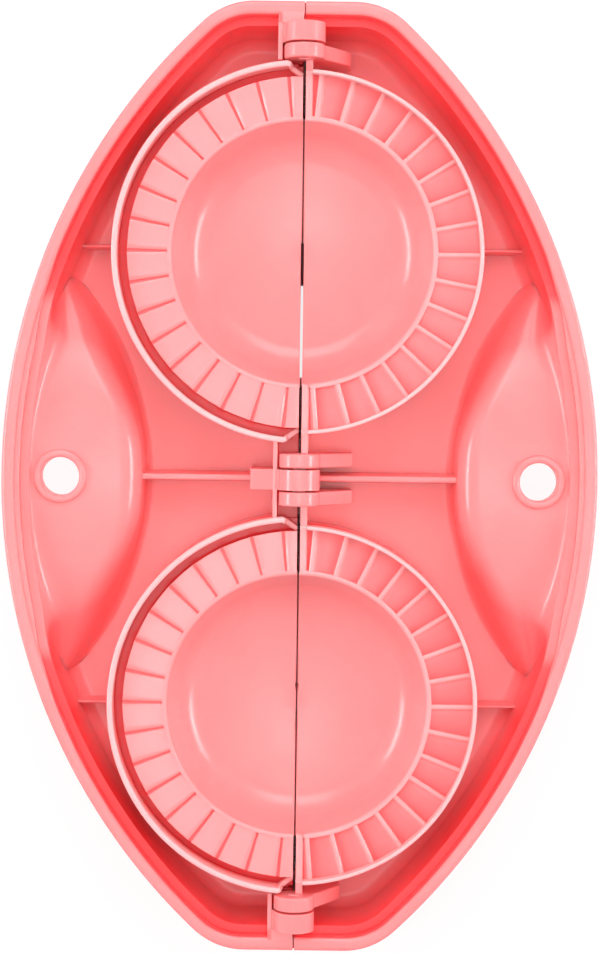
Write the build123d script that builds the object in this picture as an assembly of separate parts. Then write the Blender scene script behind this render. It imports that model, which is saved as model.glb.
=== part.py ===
from build123d import *
import os
from math import cos, radians, tan

# Double ravioli press, lying open: two half trays hinged along their straight sides.
# X runs across the press, Y along the hinge, Z up. The hinge axis is the line x = 0 at the
# height of the mating plane. Every half is drawn at x > 0 and mirrored for the left side.

# Whole press
overall_length = 215.0
overall_width = 135.0
end_width = 35.48
corner_radius = 17.0
mating_height = 23.0

# Clearances
closing_gap = 0.3
seam_gap = 0.6
knuckle_gap = 0.4
barrel_clearance = 0.4
cup_middle_gap = 8.2
cup_end_gap = 13.4
cup_recess_gap = 6.0

# How far the cutters reach past what they cut
cutter_margin = 1.0

# Tray shell
wall_thickness = 2.0
floor_thickness = 2.0
draft_angle = 5.0
outer_foot_radius = 5.0
inner_foot_radius = 3.5

# Rim flange
rim_width = 2.9
rim_end_width = 3.2
rim_depth = 3.5
rim_round = 1.0
ledge_width = 1.1
ledge_drop = 1.4
ledge_length = 74.0

# Thumb recesses in the long sides
recess_reach = 27.2
recess_crown_radius = 110.0
recess_top_depth = 6.0
recess_slope = 3.0
recess_round = 3.5
recess_skin = 2.0

# Hanging eyelets
eyelet_inset = 13.0
eyelet_bore_radius = 4.4
eyelet_wall = 1.7
eyelet_top_depth = 3.0
eyelet_round = 0.6

# Mould cups
bowl_depth = 11.5
bowl_slope = 26.0
bowl_dish_radius = 160.0
bowl_corner_radius = 8.0
bowl_skin = 1.8
bowl_lip_round = 0.7
gate_slot_length = 8.6
gate_slot_depth = 0.3
gate_slot_offset = 1.6

# Pleated ring, left side: raised panels with grooves between them
pleat_count = 17
pleat_ring_width = 9.8
pleat_plate = 2.5
groove_inner_width = 0.4
groove_outer_width = 0.8
groove_depth = 0.9
groove_setback = 0.7
channel_width = 2.1
channel_depth = 5.0
channel_skin = 1.5

# Guard walls
left_guard_thickness = 1.3
left_guard_height = 2.0
left_guard_round = 0.5
left_guard_end = 3.3
return_wall_thickness = 1.2
return_wall_depth = 2.6
right_guard_thickness = 0.9
right_guard_height = 2.0
right_guard_round = 0.3
right_guard_inset = 0.4
right_guard_foot = 1.6
right_guard_end = 1.9

# Pleated ring, right side: recessed panels with ribs between them
panel_depth = 1.1
pleat_rib_width = 0.8
bowl_rim_width = 0.9
hinge_strip_width = 1.7

# Hinge side of the trays
edge_wall = 1.2
left_edge_wall = 1.0
right_edge_wall = 1.6
trough_depth = 6.3

# Hinge
barrel_radius = 4.6
pin_radius = 1.5
pin_running_clearance = 0.05
end_knuckle_width = 4.4
end_ear_width = 3.3
middle_knuckle_width = 4.6
middle_ear_width = 3.2
knuckle_setback = 1.8
knuckle_arm_reach = 11.0
knuckle_arm_drop = 1.5
knuckle_end_wall = 0.4
pin_end_gap = 0.4
end_ear_reach = 11.3
middle_ear_reach = 12.6
ear_shoulder = 0.4
ear_tip_depth = 9.0

# Stiffening ribs on the tray floor
centre_rib_thickness = 1.2
centre_rib_depth = 9.0
side_rib_thickness = 1.0
side_rib_depth = 14.0
side_rib_shift = 1.8

# Heights that follow from the sizes above
face_height = mating_height - closing_gap / 2
rim_base = mating_height - rim_depth
shelf_height = mating_height - trough_depth
half_gap = seam_gap / 2
far = overall_width + overall_length

# The arc of the long sides, through the middle of the side and the corner of the end
side_rise = (overall_width - end_width) / 2
side_arc_radius = ((overall_length / 2) ** 2 + side_rise**2) / (2 * side_rise)

# Cups that fill each half of the length, and the radii inside them
left_cup_radius = (overall_length / 2 - cup_middle_gap - cup_end_gap) / 2
cup_centre = cup_middle_gap + left_cup_radius
channel_radius = left_cup_radius - left_guard_thickness
panel_radius = channel_radius - channel_width
bowl_radius = panel_radius - pleat_ring_width
right_guard_inner = panel_radius + right_guard_inset
right_cup_radius = right_guard_inner + right_guard_thickness
pleat_pitch = 180.0 / pleat_count

# Places along the hinge that follow from the sizes above
end_knuckle_outer = overall_length / 2 - rim_end_width - knuckle_setback
end_knuckle_inner = end_knuckle_outer - end_knuckle_width
end_ear_outer = end_knuckle_inner - knuckle_gap
end_ear_inner = end_ear_outer - end_ear_width
middle_ear_inner = middle_knuckle_width / 2 + knuckle_gap
middle_ear_outer = middle_ear_inner + middle_ear_width
trough_wall_inner = barrel_radius + barrel_clearance
trough_wall_outer = trough_wall_inner + left_edge_wall


def slab(x_low, x_high, y_low, y_high, z_low, z_high):
    """A box between two corners."""
    middle = Pos((x_low + x_high) / 2, (y_low + y_high) / 2, (z_low + z_high) / 2)
    return middle * Box(x_high - x_low, y_high - y_low, z_high - z_low)


def half_space(start=half_gap):
    """Everything on the far side of the hinge seam."""
    return slab(start, far, -far, far, -far, far)


def upright(radius, z_low, z_high, x=0.0, y=0.0):
    """An upright cylinder between two heights."""
    return Pos(x, y, (z_low + z_high) / 2) * Cylinder(radius, z_high - z_low)


def tube(inner_radius, outer_radius, z_low, z_high):
    """An upright tube about the Z axis."""
    return upright(outer_radius, z_low, z_high) - upright(inner_radius, z_low, z_high)


def along_hinge(radius, y_low, y_high):
    """A cylinder about the hinge axis."""
    place = Pos(0, (y_low + y_high) / 2, mating_height) * Rot(90, 0, 0)
    return place * Cylinder(radius, y_high - y_low)


def leaf(side_inset, end_inset):
    """The leaf outline of the press, drawn in from its edge."""
    arc_centre = side_arc_radius - overall_width / 2
    disc = Circle(side_arc_radius - side_inset)
    band = Rectangle(overall_width, overall_length - 2 * end_inset)
    outline = (Pos(arc_centre, 0) * disc) & (Pos(-arc_centre, 0) * disc) & band
    return fillet(outline.vertices(), corner_radius - side_inset)


def drafted(outline, z_top, z_bottom, foot_radius):
    """A block that narrows downwards from an outline, with a rounded foot."""
    block = extrude(Pos(0, 0, z_top) * outline, z_top - z_bottom, dir=(0, 0, -1), taper=draft_angle)
    return fillet(block.edges().group_by(Axis.Z)[0], foot_radius)


def tray_outside():
    """The outer form of the tray below the rim flange."""
    outline = leaf(rim_width - wall_thickness, rim_end_width - wall_thickness)
    return drafted(outline, rim_base, 0.0, outer_foot_radius)


def tray_inside():
    """The hollow of the tray below the rim flange."""
    outline = leaf(rim_width, rim_end_width)
    return drafted(outline, rim_base, floor_thickness, inner_foot_radius)


def recess_body(skin):
    """The thumb recess with a given thickness of skin about it."""
    top = mating_height - recess_top_depth
    spread = tan(radians(recess_slope))
    edge_x = overall_width / 2 - recess_reach
    foot = recess_skin + (top - floor_thickness) * spread
    across = left_cup_radius + cup_recess_gap + foot - edge_x
    radius = (cup_centre**2 - across**2) / (2 * across) - edge_x
    low = -cutter_margin
    cone = Cone(radius + skin + (top - low) * spread, radius + skin, top - low)
    core = Pos(edge_x + radius, 0, (top + low) / 2) * cone
    crown_centre = top - recess_skin - recess_crown_radius
    crown = Rot(0, 90, 0) * Cylinder(recess_crown_radius + skin, 2 * far)
    return core & (Pos(0, 0, crown_centre) * crown)


def thumb_rest(outside, lobe):
    """The curved skin over one thumb recess."""
    skin = (lobe & outside) - recess_body(0.0) - eyelet_hole(eyelet_bore_radius + eyelet_wall)
    return skin & half_space()


def eyelet_hole(radius):
    """An upright cylinder through the hanging eyelet."""
    return upright(radius, -cutter_margin, mating_height, overall_width / 2 - eyelet_inset)


def lobe_form():
    """The raised form of the thumb rest inside the tray, its top edge rounded."""
    form = recess_body(recess_skin)
    rounded = [edge for edge in form.edges() if is_shoulder(edge)]
    return fillet(rounded, recess_round)


def is_shoulder(edge):
    """Whether an edge is the shoulder between the lobe's flank and its crown."""
    middle = edge.position_at(0.5)
    near = middle.X < overall_width / 2
    return near and middle.Z > mating_height / 2


def rim():
    """The flange round one half, with the narrow ledge beside the thumb rest."""
    band = extrude(leaf(0, 0) - leaf(rim_width, rim_end_width), face_height - rim_base)
    band = Pos(0, 0, rim_base) * band
    band = fillet(band.edges().group_by(Axis.Z)[-1], rim_round)
    strip = extrude(leaf(rim_width, rim_end_width) - leaf(rim_width + ledge_width, rim_end_width),
                    rim_depth - ledge_drop)
    strip = Pos(0, 0, rim_base) * strip
    strip = strip & slab(0, far, -ledge_length / 2, ledge_length / 2, 0, mating_height)
    return (band + strip) & half_space()


def bowl_form(skin):
    """The solid that fills one bowl, grown by a skin."""
    spread = tan(radians(bowl_slope))
    grow = skin / cos(radians(bowl_slope))
    low = mating_height - bowl_depth - bowl_skin - cutter_margin
    height = mating_height + cutter_margin - low
    top_radius = bowl_radius + grow + cutter_margin * spread
    cone = Pos(0, 0, low + height / 2) * Cone(top_radius - height * spread, top_radius, height)
    dish_centre = mating_height - bowl_depth + bowl_dish_radius
    form = cone & (Pos(0, 0, dish_centre) * Sphere(bowl_dish_radius + skin))
    circles = [edge for edge in form.edges() if edge.length > bowl_radius]
    corner = min(circles, key=lambda edge: edge.center().Z)
    return fillet(corner, bowl_corner_radius + skin)


def bowl(side, hollow, grown, upper):
    """One half bowl below its pleated ring."""
    plate_base = ring_base(side)
    shell = grown - hollow
    shell = shell & slab(half_gap, far, -far, far, 0, plate_base)
    if upper:
        slot_middle = -gate_slot_offset
        shell = shell - slab(0, half_gap + gate_slot_depth, slot_middle - gate_slot_length / 2,
                             slot_middle + gate_slot_length / 2, 0, mating_height)
    return shell


def ring_base(side):
    """The height of the underside of a pleated ring's plate."""
    if side == "left":
        return face_height - pleat_plate
    return face_height - panel_depth - pleat_plate


def pleat_angles():
    """The directions of the pleat lines, in degrees from the hinge."""
    return [pleat_pitch * (index + 0.5) for index in range(pleat_count)]


def radial(shape, angle):
    """Turn a shape drawn along +Y away from the hinge."""
    return Rot(0, 0, -angle) * shape


def groove(angle):
    """The cutter of one radial groove."""
    start = bowl_radius + groove_setback
    stop = panel_radius + cutter_margin
    flare = (groove_outer_width - groove_inner_width) / (panel_radius - start)
    end_width = groove_inner_width + flare * (stop - start)
    plan = Polygon((-groove_inner_width / 2, start), (groove_inner_width / 2, start),
                   (end_width / 2, stop), (-end_width / 2, stop), align=None)
    cutter = extrude(Pos(0, 0, face_height - groove_depth) * plan, groove_depth + cutter_margin)
    return radial(cutter, angle)


def rounded_lip(ring):
    """Round the edge where a pleated ring drops into the bowl."""
    top_edges = [edge for edge in ring.edges() if abs(edge.center().Z - face_height) < bowl_lip_round / 2]
    rounds = [edge for edge in top_edges if edge.geom_type == GeomType.CIRCLE]
    lip = [edge for edge in rounds if edge.radius < bowl_radius + bowl_lip_round]
    return fillet(lip, bowl_lip_round)


def left_pleat_ring(hollow):
    """Raised panels round the left bowl, and the channel outside them."""
    plate = upright(panel_radius, ring_base("left"), face_height)
    skirt_inner = panel_radius - channel_skin
    channel_floor = mating_height - channel_depth
    skirt = tube(skirt_inner, panel_radius, channel_floor - channel_skin, ring_base("left"))
    base = tube(panel_radius, channel_radius, channel_floor - channel_skin, channel_floor)
    ring = rounded_lip((plate + skirt + base) - hollow)
    for angle in pleat_angles():
        ring = ring - groove(angle)
    return ring & half_space()


def right_pleat_ring(hollow):
    """Recessed panels round the right bowl, with a rib on each pleat line."""
    panel_height = face_height - panel_depth
    plate = upright(right_guard_inner, ring_base("right"), panel_height)
    lip = upright(bowl_radius + bowl_rim_width, panel_height, face_height)
    strip = slab(-hinge_strip_width - half_gap, hinge_strip_width + half_gap, -right_guard_inner,
                 right_guard_inner, panel_height, face_height)
    bar = slab(-pleat_rib_width / 2, pleat_rib_width / 2, bowl_radius, right_guard_inner,
               panel_height, face_height)
    raised = lip + strip
    for angle in pleat_angles():
        raised = raised + radial(bar, angle)
    raised = raised & upright(right_guard_inner, panel_height, face_height)
    return rounded_lip((plate + raised) - hollow) & half_space()


def seam_web(side, grown, outer_radius):
    """The flat wall that closes the underside of a cup along the hinge."""
    web = slab(half_gap, half_gap + edge_wall, -outer_radius, outer_radius, 0, ring_base(side))
    return (web & upright(outer_radius, 0, mating_height)) - grown


def left_guard_wall(grown):
    """The outer wall of a left cup, with its turned-in ends at the hinge."""
    low_top = mating_height - return_wall_depth
    tall = tube(channel_radius, left_cup_radius, 0, mating_height + left_guard_height)
    tall = fillet(tall.edges().group_by(Axis.Z)[-1], left_guard_round)
    low = tube(channel_radius, left_cup_radius, 0, low_top)
    wall = (tall & half_space(left_guard_end)) + (low & half_space())
    channel_floor = mating_height - channel_depth
    web = seam_web("left", grown, channel_radius)
    web = web - tube(panel_radius - channel_skin, channel_radius + cutter_margin,
                     channel_floor - channel_skin, mating_height)
    for end in (1, -1):
        wall = wall + return_wall(end, channel_floor, low_top)
    return wall + web


def return_wall(end, z_low, z_high):
    """The end of the left guard wall that turns in towards the seam."""
    outer_y = (channel_radius + left_cup_radius) / 2
    inner_y = panel_radius + return_wall_thickness
    plan = Polygon((left_guard_end, outer_y), (half_gap, inner_y),
                   (half_gap, inner_y - return_wall_thickness),
                   (left_guard_end, outer_y - return_wall_thickness), align=None)
    wall = extrude(Pos(0, 0, z_low) * plan, z_high - z_low) - upright(panel_radius, 0, mating_height)
    return wall if end > 0 else mirror(wall, about=Plane.XZ)


def right_guard_wall(grown):
    """The outer wall of a right cup, which closes into the left channel."""
    tall = tube(right_guard_inner, right_cup_radius, 0, mating_height + right_guard_height)
    tall = fillet(tall.edges().group_by(Axis.Z)[-1], right_guard_round)
    low = tube(right_guard_inner, right_cup_radius, 0, face_height)
    foot = tube(right_cup_radius - right_guard_foot, right_guard_inner, 0, ring_base("right"))
    wall = (tall & half_space(right_guard_end)) + ((low + foot) & half_space())
    return wall + seam_web("right", grown, right_guard_inner)


def bored(shape, radius, y_low, y_high):
    """A hinge piece with the pin's bore, cut from past its lower end."""
    return shape - along_hinge(radius, y_low - cutter_margin, y_high)


def end_knuckle(end):
    """A barrel of the left half at one end of the hinge, on its web in the trough."""
    low, high = end_knuckle_inner, end_knuckle_outer
    web = slab(half_gap, trough_wall_inner, low, high, shelf_height, face_height)
    knuckle = along_hinge(barrel_radius, low, high) + web
    blind_end = high - knuckle_end_wall
    knuckle = bored(knuckle, pin_radius + pin_running_clearance, low, blind_end)
    return knuckle if end > 0 else mirror(knuckle, about=Plane.XZ)


def middle_knuckle():
    """The middle barrel of the left half and the arm that carries it."""
    half = middle_knuckle_width / 2
    web = slab(half_gap, trough_wall_outer, -half, half, shelf_height, face_height)
    arm = slab(trough_wall_outer, knuckle_arm_reach, -half, half, floor_thickness,
               mating_height - knuckle_arm_drop)
    knuckle = along_hinge(barrel_radius, -half, half) + web + arm
    return bored(knuckle, pin_radius + pin_running_clearance, -half, half + cutter_margin)


def ear(y_low, y_high, length):
    """A barrel of the right half with the gusset that stands on the tray floor."""
    plan = Plane.XZ * Polygon((half_gap, floor_thickness), (length, floor_thickness),
                              (length, mating_height - ear_tip_depth),
                              (barrel_radius, mating_height - ear_shoulder),
                              (half_gap, mating_height - ear_shoulder), align=None)
    gusset = extrude(plan, y_high - y_low, dir=(0, 1, 0))
    gusset = Pos(0, y_low, 0) * gusset
    lug = along_hinge(barrel_radius, y_low, y_high) + gusset
    return bored(lug, pin_radius, y_low, y_high + cutter_margin)


def hinge_pin(y_low, y_high):
    """One short hinge pin."""
    return along_hinge(pin_radius, y_low, y_high)


def centre_rib(inside, lobe, start):
    """The long rib between the two cups."""
    half = centre_rib_thickness / 2
    bar = slab(start, far / 2, -half, half, floor_thickness, mating_height - centre_rib_depth)
    return (bar & inside) - lobe


def side_rib(inside, cup_radius, lobe):
    """The short rib between a cup and the tray wall."""
    half = side_rib_thickness / 2
    middle = cup_centre + side_rib_shift
    bar = slab(bowl_radius, far / 2, middle - half, middle + half, floor_thickness,
               mating_height - side_rib_depth)
    return (bar & inside) - upright(cup_radius, 0, mating_height, 0, cup_centre) - lobe


def hinge_edge(side, inside):
    """The walls that close a tray along the hinge."""
    top = face_height
    if side == "left":
        lower = slab(half_gap, half_gap + edge_wall, -far, far, floor_thickness, shelf_height)
        shelf = slab(half_gap, trough_wall_outer, -far, far, shelf_height - edge_wall, shelf_height)
        upper = slab(trough_wall_inner, trough_wall_outer, -far, far, shelf_height, top)
        blocks = slab(half_gap, trough_wall_outer, -far, far, shelf_height, top)
        blocks = blocks - slab(0, far, -end_knuckle_outer, end_knuckle_outer, 0, far)
        return lower + shelf + upper + blocks
    edge = slab(half_gap, half_gap + right_edge_wall, -far, far, floor_thickness, top)
    for low, high in left_knuckle_spans():
        edge = edge - along_hinge(trough_wall_inner, low - knuckle_gap, high + knuckle_gap)
    for low, high in right_ear_spans():
        edge = edge - along_hinge(barrel_radius, low, high)
    return edge


def left_knuckle_spans():
    """Where the left half's barrels lie along the hinge."""
    half = middle_knuckle_width / 2
    return [(end_knuckle_inner, end_knuckle_outer + knuckle_setback), (-half, half),
            (-end_knuckle_outer - knuckle_setback, -end_knuckle_inner)]


def right_ear_spans():
    """Where the right half's barrels lie along the hinge."""
    return [(end_ear_inner, end_ear_outer), (middle_ear_inner, middle_ear_outer),
            (-middle_ear_outer, -middle_ear_inner), (-end_ear_outer, -end_ear_inner)]


def tray(side, outside, inside, lobe, hinge_pieces):
    """The floor and walls of one half, open beneath the cups and at the thumb recess."""
    cup_radius = left_cup_radius if side == "left" else right_cup_radius
    opening = extrude(leaf(rim_width, rim_end_width), mating_height - rim_base)
    room = inside + Pos(0, 0, rim_base) * opening
    shell = (outside - inside) & half_space()
    shell = shell + (hinge_edge(side, inside) & room)
    shell = shell - lobe
    for y in (cup_centre, -cup_centre):
        shell = shell - upright(cup_radius, -cutter_margin, mating_height + cutter_margin, 0, y)
    for piece in hinge_pieces:
        shell = shell - piece
    return shell


def eyelet():
    """The tube round one hanging hole."""
    x = overall_width / 2 - eyelet_inset
    top = mating_height - eyelet_top_depth
    base = mating_height - recess_top_depth - recess_skin
    body = upright(eyelet_bore_radius + eyelet_wall, base, top, x)
    body = fillet(body.edges().group_by(Axis.Z)[-1], eyelet_round)
    return body - eyelet_hole(eyelet_bore_radius)


def save(shape, name, side):
    """Write one sub-part, mirrored for the left half."""
    placed = mirror(shape, about=Plane.YZ) if side == "left" else shape
    export_step(placed, f"parts/{name}.step")


def build_half(side, outside, inside, lobe, hollow, grown):
    """Write every sub-part of one half."""
    if side == "left":
        hinge_pieces = {"top_knuckle": end_knuckle(1), "middle_knuckle": middle_knuckle(),
                        "bottom_knuckle": end_knuckle(-1)}
        ring = left_pleat_ring(hollow)
        guard = left_guard_wall(grown)
        cup_radius = left_cup_radius
        rib_start = knuckle_arm_reach
    else:
        top_ear = ear(end_ear_inner, end_ear_outer, end_ear_reach)
        middle_ear = ear(middle_ear_inner, middle_ear_outer, middle_ear_reach)
        hinge_pieces = {"top_ear": top_ear,
                        "middle_ears": middle_ear + mirror(middle_ear, about=Plane.XZ),
                        "bottom_ear": mirror(top_ear, about=Plane.XZ)}
        ring = right_pleat_ring(hollow)
        guard = right_guard_wall(grown)
        cup_radius = right_cup_radius
        rib_start = half_gap + right_edge_wall
    edge = hinge_edge(side, inside)
    shell = tray(side, outside, inside, lobe, list(hinge_pieces.values()) if side == "left" else [])
    for name, piece in hinge_pieces.items():
        if side == "right":
            piece = piece - edge
        save(piece, f"{side}_{name}", side)
    save(shell, f"{side}_tray", side)
    save(rim(), f"{side}_rim", side)
    save(thumb_rest(outside, lobe), f"{side}_thumb_rest", side)
    save(eyelet(), f"{side}_hanging_eyelet", side)
    save(centre_rib(inside, lobe, rib_start), f"{side}_centre_rib", side)
    rib = side_rib(inside, cup_radius, lobe)
    for level, place in (("upper", 1), ("lower", -1)):
        shift = Pos(0, place * cup_centre, 0)
        save(shift * bowl(side, hollow, grown, level == "upper"), f"{side}_{level}_bowl", side)
        save(shift * ring, f"{side}_{level}_pleat_ring", side)
        save(shift * guard, f"{side}_{level}_guard_wall", side)
        save(rib if place > 0 else mirror(rib, about=Plane.XZ), f"{side}_{level}_side_rib", side)


def build():
    """Write every sub-part of the press."""
    os.makedirs("parts", exist_ok=True)
    outside = tray_outside()
    inside = tray_inside()
    lobe = lobe_form()
    hollow = bowl_form(0.0)
    grown = bowl_form(bowl_skin)
    for side in ("left", "right"):
        build_half(side, outside, inside, lobe, hollow, grown)
    end_pin = hinge_pin(end_ear_inner, end_knuckle_outer - knuckle_end_wall - pin_end_gap)
    middle_pin = hinge_pin(-middle_ear_outer, middle_ear_outer)
    export_step(end_pin, "parts/top_hinge_pin.step")
    export_step(middle_pin, "parts/middle_hinge_pin.step")
    export_step(mirror(end_pin, about=Plane.XZ), "parts/bottom_hinge_pin.step")


build()
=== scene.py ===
"""The looks of a double ravioli press lying open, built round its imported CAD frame.

Every moulding is drawn in millimetres on the side x > 0, mirrored for the left half, and
scaled to metres when it becomes an object.
"""

import logging
import math
from collections.abc import Sequence
from dataclasses import dataclass, field
from enum import Enum

import bmesh
import bpy
from mathutils import Matrix, Vector


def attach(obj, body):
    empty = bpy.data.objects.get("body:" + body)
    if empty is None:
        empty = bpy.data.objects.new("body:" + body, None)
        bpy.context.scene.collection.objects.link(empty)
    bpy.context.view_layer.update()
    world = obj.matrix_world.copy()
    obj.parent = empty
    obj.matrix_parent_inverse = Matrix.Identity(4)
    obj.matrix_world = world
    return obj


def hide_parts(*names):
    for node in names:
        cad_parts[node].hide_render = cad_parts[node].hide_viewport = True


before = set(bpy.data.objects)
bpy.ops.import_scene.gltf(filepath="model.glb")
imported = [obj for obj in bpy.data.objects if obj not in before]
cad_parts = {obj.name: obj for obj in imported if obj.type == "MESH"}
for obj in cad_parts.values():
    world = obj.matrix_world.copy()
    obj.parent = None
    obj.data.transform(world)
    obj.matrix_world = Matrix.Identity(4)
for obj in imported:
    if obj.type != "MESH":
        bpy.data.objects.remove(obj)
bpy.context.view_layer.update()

LOG = logging.getLogger("ravioli_press")
METRES_PER_MM = 0.001
SEAM_X = 0.3
SILL_X = 0.004
BOWL_SEAM_X = 0.13
WELD = 1e-4

Flat = tuple[float, float]
Colour = tuple[float, float, float]
Values = dict[str | int, object]
Finish = bpy.types.Material
Mesh = bmesh.types.BMesh
Node = bpy.types.Node


class Side(Enum):
    """One half of the press."""

    LEFT = "left"
    RIGHT = "right"

    @property
    def body(self) -> str:
        """The body that this half's pieces ride on."""
        return f"{self.value}_half"


class Slot(Enum):
    """A name for a material slot."""

    PLASTIC = "coral_plastic"
    PIN = "hinge_pin_plastic"


@dataclass(frozen=True)
class Corner:
    """A corner of a profile, with the round on it."""

    across: float
    height: float
    radius: float = 0.0
    steps: int = 4
    run: int = 1


def rounded_path(*corners: Corner, closed: bool) -> list[Flat]:
    """Round the corners of a profile with circular arcs.

    The number of points depends only on the steps and runs, never on the lengths.

    Args:
        corners: The profile's corners in order.
        closed: Whether the last corner joins the first.

    Returns:
        The points along the profile.
    """
    count = len(corners)
    spots = [Vector((corner.across, corner.height)) for corner in corners]
    turns, setbacks = [], []
    for index, corner in enumerate(corners):
        leaving = spots[(index + 1) % count] - spots[index]
        turns.append((spots[index] - spots[index - 1]).angle(leaving, 0.0))
        setback = max(corner.radius * math.tan(min(turns[-1], 3.0) / 2), 0.05)
        setbacks.append(setback if corner.radius else 0.0)
    for index in range(count if closed else count - 1):
        follower = (index + 1) % count
        length = (spots[follower] - spots[index]).length
        wanted = setbacks[index] + setbacks[follower]
        if wanted > 0.98 * length:
            share = 0.98 * length / wanted
            setbacks[index] *= share
            setbacks[follower] *= share
    path: list[Flat] = []
    for index, corner in enumerate(corners):
        follower = (index + 1) % count
        before, here, after = spots[index - 1], spots[index], spots[follower]
        first = here + (before - here).normalized() * setbacks[index]
        last = here + (after - here).normalized() * setbacks[index]
        weight = math.cos(turns[index] / 2)
        steps = corner.steps if corner.radius else 0
        for step in range(steps + 1):
            part = step / max(steps, 1)
            shares = ((1 - part) ** 2, 2 * part * (1 - part) * weight, part**2)
            spot = (first * shares[0] + here * shares[1] + last * shares[2]) / sum(shares)
            path.append((spot.x, spot.y))
        if index == count - 1 and not closed:
            break
        end = after + (here - after).normalized() * setbacks[follower]
        for step in range(1, corner.run):
            spot = last.lerp(end, step / corner.run)
            path.append((spot.x, spot.y))
    return path


def smooth_step(value: float, low: float, high: float) -> float:
    """Go smoothly from 0 at low to 1 at high."""
    part = min(1.0, max(0.0, (value - low) / (high - low)))
    return part * part * (3 - 2 * part)


def closed_up(mesh: Mesh) -> Mesh:
    """Fill a mesh's open ends and turn its faces outwards."""
    rims = [edge for edge in mesh.edges if edge.is_boundary]
    bmesh.ops.holes_fill(mesh, edges=rims, sides=0)
    bmesh.ops.recalc_face_normals(mesh, faces=mesh.faces)
    return mesh


def swept(sections: Sequence[Sequence[Vector]], closed: bool) -> Mesh:
    """Lay a grid through cross-sections, and close it into a solid if they are loops.

    Args:
        sections: The points of each cross-section, as many in every one.
        closed: Whether the sections are loops, so that the two ends are filled.

    Returns:
        The mesh, with its faces pointing outwards if it is closed.
    """
    mesh = bmesh.new()
    rows = len(sections[0])
    lengthwise, crosswise = len(sections) - 1, rows if closed else rows - 1
    bmesh.ops.create_grid(mesh, x_segments=lengthwise, y_segments=crosswise, size=1.0)
    for vert in mesh.verts:
        station = round((vert.co.x + 1) / 2 * lengthwise)
        row = round((vert.co.y + 1) / 2 * crosswise)
        vert.co = sections[station][row % rows]
    if closed:
        bmesh.ops.remove_doubles(mesh, verts=mesh.verts, dist=WELD)
        closed_up(mesh)
    return mesh


def spun(path: Sequence[Flat], centre: Flat, turns: float, steps: int) -> Mesh:
    """Spin a closed profile about an upright axis, from +Y towards +X.

    Args:
        path: Radius and height of the profile's points.
        centre: Where the axis stands.
        turns: How far it is spun, in whole turns.
        steps: How many steps it takes.

    Returns:
        The closed mesh.
    """
    mesh = bmesh.new()
    verts = [mesh.verts.new((centre[0], centre[1] + radius, height)) for radius, height in path]
    edges = [mesh.edges.new((verts[index - 1], verts[index])) for index in range(len(verts))]
    bmesh.ops.spin(
        mesh,
        geom=verts + edges,
        cent=(*centre, 0),
        axis=(0, 0, -1),
        angle=turns * math.tau,
        steps=steps,
        use_merge=turns >= 1.0,
    )
    bmesh.ops.remove_doubles(mesh, verts=mesh.verts, dist=WELD)
    return closed_up(mesh)


def round_edges(mesh: Mesh, edges: list, size: float, segments: int = 3, clamped: bool = False) -> None:
    """Put a round on some of a mesh's edges."""
    round_profile = {"affect": "EDGES", "profile": 0.5, "material": -1, "clamp_overlap": clamped}
    bmesh.ops.bevel(mesh, geom=edges, offset=size, segments=segments, **round_profile)


def plate(outline: Sequence[Flat], plane: str, low: float, high: float, edge_round: float = 0.0) -> Mesh:
    """Extrude a flat outline and round the edges of its two faces.

    Args:
        outline: The outline's points in order.
        plane: "xz" for a plate across Y, or "yz" for one across X.
        low: Where the plate starts.
        high: Where it ends.
        edge_round: The size of the round on its edges, or 0 for none.

    Returns:
        The closed mesh.
    """
    mesh = bmesh.new()
    if plane == "xz":
        verts = [mesh.verts.new((first, low, second)) for first, second in outline]
        travel = (0, high - low, 0)
    else:
        verts = [mesh.verts.new((low, first, second)) for first, second in outline]
        travel = (high - low, 0, 0)
    face = mesh.faces.new(verts)
    grown = bmesh.ops.extrude_face_region(mesh, geom=[face], use_keep_orig=True)
    moved = [item for item in grown["geom"] if isinstance(item, bmesh.types.BMVert)]
    bmesh.ops.translate(mesh, verts=moved, vec=travel)
    bmesh.ops.recalc_face_normals(mesh, faces=mesh.faces)
    if edge_round > 0:
        sharp = [edge for edge in mesh.edges if edge.calc_face_angle(0.0) > math.radians(35)]
        round_edges(mesh, sharp, edge_round, clamped=True)
    return mesh


def joined(meshes: Sequence[Mesh]) -> Mesh:
    """Put several meshes into the first of them, and free the rest."""
    target = meshes[0]
    for source in meshes[1:]:
        carrier = bpy.data.meshes.new("carrier")
        source.to_mesh(carrier)
        target.from_mesh(carrier)
        bpy.data.meshes.remove(carrier)
        source.free()
    return target


def shifted(mesh: Mesh, move: Sequence[float]) -> Mesh:
    """Move a mesh."""
    bmesh.ops.translate(mesh, verts=mesh.verts, vec=move)
    return mesh


def mesh_object(mesh: Mesh, name: str) -> bpy.types.Object:
    """Make an object from a mesh and free the mesh."""
    data = bpy.data.meshes.new(name)
    mesh.to_mesh(data)
    mesh.free()
    made = bpy.data.objects.new(name, data)
    bpy.context.scene.collection.objects.link(made)
    return made


def cut_away(target: Mesh, cutter: Mesh) -> Mesh:
    """Cut one closed mesh out of another.

    Args:
        target: The mesh that is cut.
        cutter: The mesh that is taken away.

    Returns:
        The cut mesh. Both given meshes are freed.
    """
    body = mesh_object(target, "cut_body")
    tool = mesh_object(cutter, "cut_tool")
    modifier = body.modifiers.new("cut", "BOOLEAN")
    modifier.operation = "DIFFERENCE"
    modifier.solver = "EXACT"
    modifier.object = tool
    result = bmesh.new()
    result.from_object(body, bpy.context.evaluated_depsgraph_get())
    for made in (body, tool):
        data = made.data
        bpy.data.objects.remove(made)
        bpy.data.meshes.remove(data)
    return result


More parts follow.
